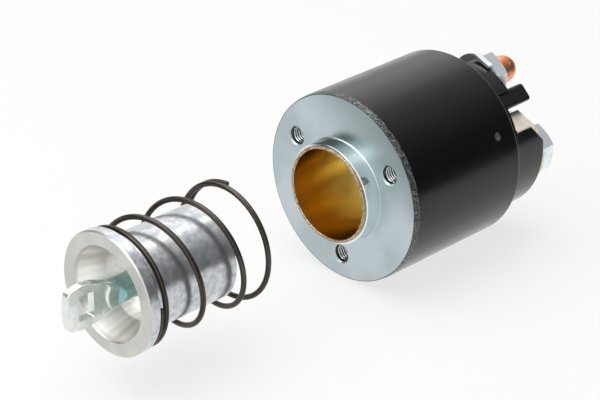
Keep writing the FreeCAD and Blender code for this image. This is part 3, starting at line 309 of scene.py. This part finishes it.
# Painted shade in the thread roots and painted highlight on the crests, by the crest attribute.
feed(thread_zinc,
     Base_Color=colours(thread_zinc, ramp(thread_zinc, crest, 0.25, 0.85), "#23282A", "#DDE3E3"),
     Roughness=ramp(thread_zinc, noise(thread_zinc, 0.0005), 0.3, 0.7, 0.18, 0.28),
     Normal=relief(thread_zinc, noise(thread_zinc, 0.0002), 0.000004))
for number, degrees in enumerate(BOLT_ANGLES, start=1):
    turn = math.radians(degrees)
    across, height = BOLT_CIRCLE * math.cos(turn), BOLT_CIRCLE * math.sin(turn)
    tapped_thread(f"plate_thread_{number}", across, height).data.materials.append(thread_zinc)


# Plunger sleeve: drawn brass tube, flared over the end of the spigot.
# Its bore is polished by the plunger and turns to amber where it mirrors itself, and the
# flared rim is dulled to a speckled beige.
RIM_BACK = -0.0050

# The eye gets a warm gold, painted paler with depth as painted light deep in the bore, inside a dull speckled
# ring.
brass = new_material("drawn_brass_with_dulled_rim", Metallic=1.0)
rim = ramp(brass, position(brass, "X"), RIM_BACK + 0.0003, RIM_BACK - 0.0001)
# Painted light: the gold grows paler deeper in the bore.
gold_painted_paler_deep = colours(brass, ramp(brass, position(brass, "X"), 0.0, 0.018), "#CF9538", "#FFF3A0")
dulled = colours(brass, ramp(brass, noise(brass, 0.0004), 0.42, 0.6), "#C8B79E", "#8A785E")
feed(brass,
     Base_Color=colours(brass, rim, gold_painted_paler_deep, dulled),
     Roughness=ramp(brass, rim, 0.0, 1.0, 0.24, 0.42),
     Normal=relief(brass, noise(brass, 0.0009), 0.000003))
dress(brass, "plunger_sleeve", "blade_rivet")


# Bobbin, windings, core and core plate: the magnet inside the case, stacked between the
# front plate and the cap. Moulded nylon, two layers of enamelled wire and turned soft iron.
WIRE_PITCH = 0.0011

# The eye gets a waxy cream, a little clouded.
nylon = new_material("moulded_natural_nylon", IOR=1.53, Roughness=0.45)
feed(nylon,
     Base_Color=colours(nylon, ramp(nylon, noise(nylon, 0.003), 0.3, 0.7), "#DDD5BF", "#CFC4A8"),
     Normal=relief(nylon, noise(nylon, 0.0004), 0.000006))
dress(nylon, "bobbin", "front_bush", "rear_bush")

# The eye gets rows of glossy red-brown wire. The wave repeats every 2 pi / (20 scale) metres,
# so this scale gives about one row a turn of wire.
wire_copper = new_material("enamelled_copper_wire", Metallic=1.0, Roughness=0.3, Coat_Weight=0.6)
rows = add(wire_copper, "TexWave", {"Scale": 1.0 / (math.pi * WIRE_PITCH), "Distortion": 0.0},
           {"Vector": position(wire_copper)}, wave_type="BANDS", bands_direction="X")
feed(wire_copper,
     Base_Color=colours(wire_copper, noise(wire_copper, 0.004), "#B5602C", "#8E441C"),
     Normal=relief(wire_copper, rows.outputs["Fac"], 0.00025))
dress(wire_copper, "pull_in_winding", "hold_in_winding")


def turned_marks(material, pitch):
    """Fine rings about the bore's axis: a wave of the distance from it, pitch metres apart."""
    cycles = add(material, "Math", {1: 2 * math.pi / pitch}, {0: from_axis(material)}, operation="MULTIPLY")
    return add(material, "Math", links={0: cycles.outputs["Value"]}, operation="SINE").outputs["Value"]


# The eye gets a pale bare metal whose turning rings draw the light into fans.
iron = new_material("turned_soft_iron", Metallic=1.0)
feed(iron,
     Base_Color=colours(iron, ramp(iron, noise(iron, 0.005), 0.35, 0.65), "#E2E3DE", "#CCCDCA"),
     Roughness=ramp(iron, noise(iron, 0.001), 0.3, 0.7, 0.28, 0.38),
     Normal=relief(iron, turned_marks(iron, 0.00025), 0.0000025))
dress(iron, "fixed_core", "core_plate", "contact_rod", "spring_seat")


# Seal and terminal cap: a rubber ring, and a cap moulded in black phenolic, clamped by the
# case's rear lip. The cap carries the tower and the block under the terminals and the
# barrier between them, and has the gloss of a polished mould.
# The eye gets a dull, fine-grained black.
rubber = new_material("punched_nitrile_rubber", IOR=1.52, Roughness=0.6)
feed(rubber,
     Base_Color=colours(rubber, noise(rubber, 0.002), "#141414", "#1D1D1C"),
     Normal=relief(rubber, noise(rubber, 0.0004), 0.00001))
dress(rubber, "cap_seal")

# The eye gets a glossy brown-black with faint lines of flow.
phenolic = new_material("moulded_phenolic", IOR=1.5)
flow = noise(phenolic, 0.007, detail=5.0)
feed(phenolic,
     Base_Color=colours(phenolic, ramp(phenolic, flow, 0.35, 0.7), "#0C0A09", "#171411"),
     Roughness=ramp(phenolic, flow, 0.3, 0.7, 0.1, 0.18),
     Normal=relief(phenolic, noise(phenolic, 0.003), 0.00001))
dress(phenolic, "terminal_cap")


# Terminal studs: M8 copper screws with rolled threads under their nuts and a smooth domed
# pilot at the tip, held in the cap's wall by their flat contact heads. Each is a turned
# mesh with its thread, in place of the plain CAD stud.
STUD_RADIUS = 0.0040
STUD_ROOT = 0.0034
STUD_PITCH = 0.00125
STUD_DOME = 0.0042
STUD_PILOT = 0.0078
STUD_HEAD = 0.0046
STUD_HEAD_THICKNESS = 0.0028
STUD_HEAD_BEVEL = 0.0001
STUD_HEAD_FACE = 0.98
STUD_PLAIN = 0.0040
STUD_RING_GAP = 0.00005
STUD_POINTS = 64
STUD_STEPS = 12
DOME_RINGS = 18
DOME_END = 0.995


def terminal_stud(name):
    """Turned stud: radius = outside - (outside - root) * (1 - tooth(x / pitch - angle)), plain
    at the head and at the pilot, which ends in a quarter-ellipse dome."""
    low, high = [Vector(corner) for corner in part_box(name)]
    across, height = (low.y + high.y) / 2, (low.z + high.z) / 2
    angle = np.linspace(0, 2 * np.pi, STUD_POINTS, endpoint=False)[None, :]
    shank = low.x + STUD_HEAD_THICKNESS
    along = np.arange(shank, high.x - STUD_DOME, STUD_PITCH / STUD_STEPS)[:, None]
    threaded = np.clip((along - shank - STUD_PLAIN) / STUD_PITCH, 0, 1)
    threaded *= np.clip((high.x - STUD_PILOT - along) / STUD_PITCH, 0, 1)
    cut = (STUD_RADIUS - STUD_ROOT) * (1 - tooth(along / STUD_PITCH - angle / (2 * np.pi))) * threaded
    body = STUD_RADIUS - cut
    rise = np.linspace(0, DOME_END, DOME_RINGS)[:, None]
    dome = along[-1] + (high.x - along[-1]) * np.sin(rise * np.pi / 2)
    tip = STUD_RADIUS * np.cos(rise * np.pi / 2) + 0 * angle
    head = np.array([[STUD_HEAD_FACE], [1.0], [1.0]]) * STUD_HEAD + 0 * angle
    head_along = np.array([[low.x], [low.x + STUD_HEAD_BEVEL], [shank - STUD_RING_GAP]])
    radius = np.concatenate([head, body, tip])
    places = np.concatenate([head_along, along, dome])
    rings = np.stack([places + 0 * angle, across + radius * np.cos(angle),
                      height + radius * np.sin(angle)], axis=-1)
    piece = skin(name + "_threaded", rings, "housing", smooth_under=50.0)
    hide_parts(name)
    return piece


# The eye gets a soft orange copper, bright on the crests of the thread.
copper = new_material("rolled_copper_stud", Metallic=1.0)
tarnish = noise(copper, 0.002, detail=4.0)
feed(copper,
     Base_Color=colours(copper, ramp(copper, tarnish, 0.35, 0.7), "#F4AC84", "#D67B50"),
     Roughness=ramp(copper, tarnish, 0.3, 0.7, 0.32, 0.44),
     Normal=relief(copper, noise(copper, 0.0003), 0.000003))
for stud in ("battery_stud", "motor_stud"):
    terminal_stud(stud).data.materials.append(copper)
dress(copper, "contact_disc")


# Nuts and washer: M8 hexagon nuts, and a lock washer with a lug bent down beside its block,
# barrel plated in bright zinc. They clamp the battery lead and the motor strap on the studs.
# The eye gets a bright, faintly blue metal, brighter than the plate's.
nut_zinc = zinc("barrel_plated_bright_zinc", "#F2F5F8", "#DDE4EC", 0.4, blotch=0.005)
dress(nut_zinc, "battery_nut", "motor_nut", "battery_washer")


# Motor strap and trigger blade: stamped copper, dip tinned to a cream-grey.
# The strap is bent down the tower's upper side from the eye under the motor nut, and the
# blade is riveted to the cap.
# The eye gets a soft cream-grey metal, frosted and slightly uneven.
tin = new_material("dip_tinned_copper", Metallic=1.0)
frost = noise(tin, 0.0035, detail=4.0)
feed(tin,
     Base_Color=colours(tin, ramp(tin, frost, 0.35, 0.65), "#EDE5DB", "#D3C8BC"),
     Roughness=ramp(tin, frost, 0.3, 0.7, 0.3, 0.42),
     Normal=relief(tin, noise(tin, 0.0012), 0.00002))
dress(tin, "motor_strap", "blade_terminal")


# Plunger and plug: turned steel with a flared cup and a spring flange, bright zinc plated
# after turning. The face and the cup are satin, and the cup is painted paler than the face with streaks of
# painted shade. The ground body mirrors the spring that lies round it, through a patchy, slightly milky film
# of blue passivation.
FLANGE_FACE = -0.0829
CUP_MOUTH = 0.0127
CUP_FLOOR = -0.0713
STREAK_ANGLE = 0.3

# The eye gets a satin face, a cup painted paler as painted light with streaks of painted shade, and a
# brighter body with soft spangle.
# The cup's shade streaks are noise over the turn about the axis, the same on both sides so that they have no
# seam.
plunger_zinc = new_material("bright_zinc_on_turned_plunger")
radius = from_axis(plunger_zinc)
along = position(plunger_zinc, "X")
behind = ramp(plunger_zinc, along, FLANGE_FACE + 0.0002, FLANGE_FACE + 0.0004)
ground = product(plunger_zinc, behind, ramp(plunger_zinc, radius, CUP_MOUTH + 0.00002, CUP_MOUTH + 0.0001))
before = ramp(plunger_zinc, along, CUP_FLOOR + 0.002, CUP_FLOOR + 0.001)
cup = product(plunger_zinc, before, ramp(plunger_zinc, radius, CUP_MOUTH, CUP_MOUTH - 0.0004))
cloud = ramp(plunger_zinc, noise(plunger_zinc, 0.006), 0.36, 0.66)
grain = noise(plunger_zinc, 0.0003, detail=4.0)
spangle = noise(plunger_zinc, 0.0018, detail=5.0)
places = add(plunger_zinc, "SeparateXYZ", links={"Vector": position(plunger_zinc)}).outputs
turn = add(plunger_zinc, "Math", links={0: places["Z"], 1: places["Y"]}, operation="ARCTAN2").outputs["Value"]
around = add(plunger_zinc, "Math", links={0: turn}, operation="ABSOLUTE").outputs["Value"]
lines = add(plunger_zinc, "CombineXYZ", links={"X": around}).outputs["Vector"]
# Painted light in the cup: streaks of painted shade, and a paler colour than the face.
streak_shade = ramp(plunger_zinc, noise(plunger_zinc, STREAK_ANGLE, place=lines, detail=1.0), 0.35, 0.7)
satin = colours(plunger_zinc, cloud, "#D2D1CC", "#C7C8C4")
cup_painted_light = colours(plunger_zinc, cup, satin, colours(plunger_zinc, streak_shade, "#F7F6F3", "#D6D5D1"))
mottled = colours(plunger_zinc, ramp(plunger_zinc, spangle, 0.35, 0.65), "#D6D8D8", "#B8BEC6")
feed(plunger_zinc,
     Base_Color=colours(plunger_zinc, ground, cup_painted_light, mottled),
     Metallic=ramp(plunger_zinc, ground, 0.0, 1.0, 1.0, 0.82),
     Roughness=ramp(plunger_zinc, ground, 0.0, 1.0, 0.37, 0.24),
     Normal=relief(plunger_zinc, product(plunger_zinc, ground, spangle), 0.00005,
                   relief(plunger_zinc, grain, 0.000004)))
dress(plunger_zinc, "plunger", "plunger_plug")


# Pull hook: forged steel, its blade pressed flat with a window for the shift lever and its
# shank milled on two sides, zinc plated. The shank is painted a sea blue as painted shade, where it lies deep
# in the cup.
HOOK_NECK = -0.0805

# The eye gets a pale green-white metal, painted a light sea blue down the shank as painted shade.
hook_zinc = new_material("zinc_painted_blue_shade_on_forged_steel", Metallic=1.0)
# Painted shade: the shank is painted sea blue.
shank_shade = ramp(hook_zinc, position(hook_zinc, "X"), HOOK_NECK - 0.004, HOOK_NECK + 0.001)
cloud = ramp(hook_zinc, noise(hook_zinc, 0.003), 0.36, 0.66)
pale = colours(hook_zinc, cloud, "#ECEFEB", "#DEE5E1")
blue = colours(hook_zinc, cloud, "#C3DCDA", "#ADCFCE")
feed(hook_zinc,
     Base_Color=colours(hook_zinc, shank_shade, pale, blue),
     Roughness=ramp(hook_zinc, cloud, 0.0, 1.0, 0.25, 0.33),
     Normal=relief(hook_zinc, noise(hook_zinc, 0.0012), 0.00001))
dress(hook_zinc, "pull_hook")


# Return spring: coiled from oil-tempered wire, closed at both ends, and lying over the
# plunger's body behind the flange. It is swept again here with fewer faces than the CAD
# solid, and its drawing marks run along the wire.
SPRING_TURNS = 4.75
SPRING_LENGTH = 0.0388
SPRING_RADIUS = 0.0157
SPRING_WIRE = 0.00074
SPRING_FRONT = -0.07945
SPRING_START = math.radians(178.0)
SPRING_CLOSED = 0.95
SPRING_EASING = 0.4
COIL_GAP = 0.00006
WIRE_STEPS = 457
WIRE_SIDES = 20


def coil(name, body, front, length, radius, wire, turns, start, steps, sides):
    """Wire swept on x(t), R cos a, R sin a with a = start + 2 pi t. The pitch dx/dt is that of
    touching turns near both ends, and smoothstep eases it into the open middle."""
    marks = np.linspace(0, turns, steps)
    middle = (marks[1:] + marks[:-1]) / 2
    inward = np.minimum(middle, turns - middle)
    share = np.clip((inward - SPRING_CLOSED) / SPRING_EASING, 0, 1)
    opened = share * share * (3 - 2 * share)
    step = turns / len(middle)
    closed_pitch = 2 * wire + COIL_GAP
    free = length - 2 * wire - closed_pitch * turns
    pitch = closed_pitch + opened * free / (step * opened.sum())
    x = front + wire + np.concatenate([[0], np.cumsum(pitch * step)])
    angle = start + 2 * np.pi * marks
    radial = np.stack([0 * angle, np.cos(angle), np.sin(angle)], axis=-1)
    centre = radial * radius
    centre[:, 0] = x
    tangent = np.gradient(centre, axis=0)
    tangent /= np.linalg.norm(tangent, axis=1, keepdims=True)
    side = np.cross(tangent, radial)
    phase = np.linspace(0, 2 * np.pi, sides, endpoint=False)[None, :, None]
    rings = centre[:, None] + wire * (np.cos(phase) * radial[:, None] + np.sin(phase) * side[:, None])
    return skin(name, rings, body, smooth_under=60.0)


def wire_coordinates(piece):
    """A UV map with U as metres along the wire and V as turns round it, by vertex number."""
    mesh = piece.data
    layer = mesh.uv_layers.new(name="wire")
    corners = np.empty(len(mesh.loops), dtype=np.int32)
    mesh.loops.foreach_get("vertex_index", corners)
    run = corners // WIRE_SIDES / WIRE_STEPS * SPRING_TURNS * 2 * math.pi * SPRING_RADIUS
    places = np.stack([run, corners % WIRE_SIDES / WIRE_SIDES], axis=-1)
    layer.data.foreach_set("uv", places.astype(np.float32).ravel())


# The eye gets a brown-black wire with thin grey lines along it, drawing marks painted grey as painted
# highlight.
tempered = new_material("oil_tempered_spring_wire", Metallic=1.0)
wire_map = add(tempered, "UVMap", uv_map="wire").outputs["UV"]
# Painted highlight: grey drawing lines along the wire.
drawn_lines_and_highlight = noise(tempered, 1.0, place=wire_map, stretch=(60.0, 26.0, 1.0))
feed(tempered,
     Base_Color=colours(tempered, ramp(tempered, drawn_lines_and_highlight, 0.4, 0.7), "#2C2723", "#6B645C"),
     Roughness=ramp(tempered, drawn_lines_and_highlight, 0.3, 0.7, 0.3, 0.46),
     Normal=relief(tempered, drawn_lines_and_highlight, 0.00001))
spring = coil("return_spring_wire", "plunger", SPRING_FRONT, SPRING_LENGTH, SPRING_RADIUS, SPRING_WIRE,
              SPRING_TURNS, SPRING_START, WIRE_STEPS, WIRE_SIDES)
wire_coordinates(spring)
spring.data.materials.append(tempered)
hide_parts("return_spring")
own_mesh(spring)


# Inner springs and clip: blued spring steel on a small scale, inside the plunger, the core
# and the cap's hub.
MESH_FRONT = -0.06785
MESH_LENGTH = 0.0121
MESH_RADIUS = 0.0057
MESH_WIRE = 0.0007
MESH_TURNS = 4.5
ROD_SPRING_FRONT = 0.0401
ROD_SPRING_LENGTH = 0.01085
ROD_SPRING_RADIUS = 0.0037
ROD_SPRING_WIRE = 0.0004
ROD_SPRING_TURNS = 5.0
INNER_STEPS = 48
INNER_SIDES = 16

# The eye gets a near-black steel with a brown tinge.
blued = new_material("blued_spring_steel", Metallic=1.0)
feed(blued,
     Base_Color=colours(blued, ramp(blued, noise(blued, 0.0015), 0.35, 0.65), "#3A3632", "#57524D"),
     Roughness=ramp(blued, noise(blued, 0.0008), 0.3, 0.7, 0.28, 0.4),
     Normal=relief(blued, noise(blued, 0.0003), 0.000004))
dress(blued, "contact_spring", "rod_clip")
mesh_spring = coil("meshing_spring_wire", "plunger", MESH_FRONT, MESH_LENGTH, MESH_RADIUS, MESH_WIRE,
                   MESH_TURNS, 0, int(MESH_TURNS * INNER_STEPS) + 1, INNER_SIDES)
mesh_spring.data.materials.append(blued)
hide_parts("meshing_spring")
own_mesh(mesh_spring)
rod_spring = coil("rod_return_spring_wire", "housing", ROD_SPRING_FRONT, ROD_SPRING_LENGTH,
                  ROD_SPRING_RADIUS, ROD_SPRING_WIRE, ROD_SPRING_TURNS, 0,
                  int(ROD_SPRING_TURNS * INNER_STEPS) + 1, INNER_SIDES)
rod_spring.data.materials.append(blued)
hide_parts("rod_return_spring")
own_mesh(rod_spring)


# Floor: a plain white table under the case, not part of the object. The camera sees it
# lifted towards white, so that its shadows stay pale, and the metals and the paint mirror it
# as white, except far off on the right, where the lamps don't reach it.
FLOOR_LEVEL = -0.0270
FLOOR_REACH = 3
FLOOR_LIFT = 0.75
RIGHTWARDS = (0.63, -0.77, 0.0)

# The eye gets an even matt white.
table = new_material("white_table", Base_Color=linear("#F2F2F2"))
feed(table, Roughness=ramp(table, noise(table, 0.02), 0.3, 0.7, 0.65, 0.75))
rightwards = add(table, "VectorMath", {1: RIGHTWARDS}, {0: position(table)}, operation="DOT_PRODUCT")
lit = ramp(table, rightwards.outputs["Value"], 0.14, 0.36, 1.0, 0.15)
path = add(table, "LightPath").outputs
strength = add(table, "Mix", {2: 1.0}, {0: path["Is Glossy Ray"], 3: lit}, data_type="FLOAT")
lift = ramp(table, path["Is Camera Ray"], 0.0, 1.0, 0.0, FLOOR_LIFT)
share = add(table, "Math", links={0: lift, 1: path["Is Glossy Ray"]}, operation="MAXIMUM")
glow = add(table, "Emission", {"Color": (1, 1, 1, 1)}, {"Strength": strength.outputs[0]})
mixed = add(table, "MixShader", links={0: share.outputs["Value"],
                                       1: table.node_tree.nodes["Principled BSDF"].outputs["BSDF"],
                                       2: glow.outputs["Emission"]})
table.node_tree.links.new(mixed.outputs["Shader"], table.node_tree.nodes["Material Output"].inputs["Surface"])
floor_mesh = bpy.data.meshes.new("floor")
signs = ((-1, -1), (1, -1), (1, 1), (-1, 1))
corners = [(FLOOR_REACH * x, FLOOR_REACH * y, FLOOR_LEVEL) for x, y in signs]
floor_mesh.from_pydata(corners, [], [(0, 1, 2, 3)])
floor_mesh.materials.append(table)
floor = bpy.data.objects.new("floor", floor_mesh)
bpy.context.collection.objects.link(floor)


# Light: a wide silk overhead and a soft box low on the left that faces the plate. Round them
# is a white tent that only the metals and the paint mirror; it is open on the right and has
# a dim slit on the front left and a lit panel at the back.
TENT_AWAY = (-0.8, 0.55, 0.3)
TENT_OPENING = 0.11
TENT_SLIT = (-0.62, 0.73, 0.28)
TENT_PANEL = (0.63, 0.55, 0.55)
ROOM = 0.15


def soft_box(name, place, target, width, height, power):
    """A rectangular area light aimed at a point."""
    light = bpy.data.lights.new(name, "AREA")
    light.shape = "RECTANGLE"
    light.size = width
    light.size_y = height
    light.energy = power
    lamp = bpy.data.objects.new(name, light)
    lamp.location = place
    lamp.rotation_euler = (Vector(target) - Vector(place)).to_track_quat("-Z", "Y").to_euler()
    bpy.context.collection.objects.link(lamp)


soft_box("overhead", place=(-0.15, 0.25, 0.95), target=(0, 0.1, 0), width=1.3, height=1.4, power=13.5)
soft_box("left_front", place=(-0.85, 0.15, 0.35), target=(0, 0, 0), width=0.6, height=0.5, power=2.2)
world = bpy.data.worlds.new("studio")
bpy.context.scene.world = world
world.use_nodes = True
path = add(world, "LightPath").outputs
direction = add(world, "TexCoord").outputs["Generated"]
away = add(world, "VectorMath", {1: TENT_AWAY}, {0: direction}, operation="DOT_PRODUCT")
slit = add(world, "VectorMath", {1: TENT_SLIT}, {0: direction}, operation="DOT_PRODUCT")
wall = ramp(world, slit.outputs["Value"], 0.68, 0.94, 1.0, 0.15)
cloth = product(world, wall, ramp(world, away.outputs["Value"], -0.9, 0.1, TENT_OPENING, 1.0))
facing = add(world, "VectorMath", {1: TENT_PANEL}, {0: direction}, operation="DOT_PRODUCT")
panel = ramp(world, facing.outputs["Value"], 0.92, 0.99, 0.0, 0.5)
tent = add(world, "Math", links={0: cloth, 1: panel}, operation="ADD").outputs["Value"]
plain = ramp(world, path["Is Camera Ray"], 0.0, 1.0, ROOM, 1.0)
strength = add(world, "Mix", links={0: path["Is Glossy Ray"], 2: plain, 3: tent}, data_type="FLOAT")
room = world.node_tree.nodes["Background"]
room.inputs["Color"].default_value = (1, 1, 1, 1)
world.node_tree.links.new(strength.outputs[0], room.inputs["Strength"])
bpy.context.scene.view_settings.view_transform = "Standard"


# Camera, placed by fitting the edges of the case, plate, spigot and plunger.
# It looks down at 27 degrees from in front of the plate, with a long lens.
CAMERA_PLACE = Vector((-0.373606, -0.361630, 0.261104))
CAMERA_FORWARD = Vector((0.626847, 0.633501, -0.453586))
camera_data = bpy.data.cameras.new("photo_camera")
camera_data.lens = 129.0
camera_data.sensor_width = 36.0
camera_data.clip_start = 0.01
camera = bpy.data.objects.new("photo_camera", camera_data)
camera.location = CAMERA_PLACE
camera.rotation_euler = CAMERA_FORWARD.to_track_quat("-Z", "Y").to_euler()
bpy.context.collection.objects.link(camera)
bpy.context.scene.camera = camera
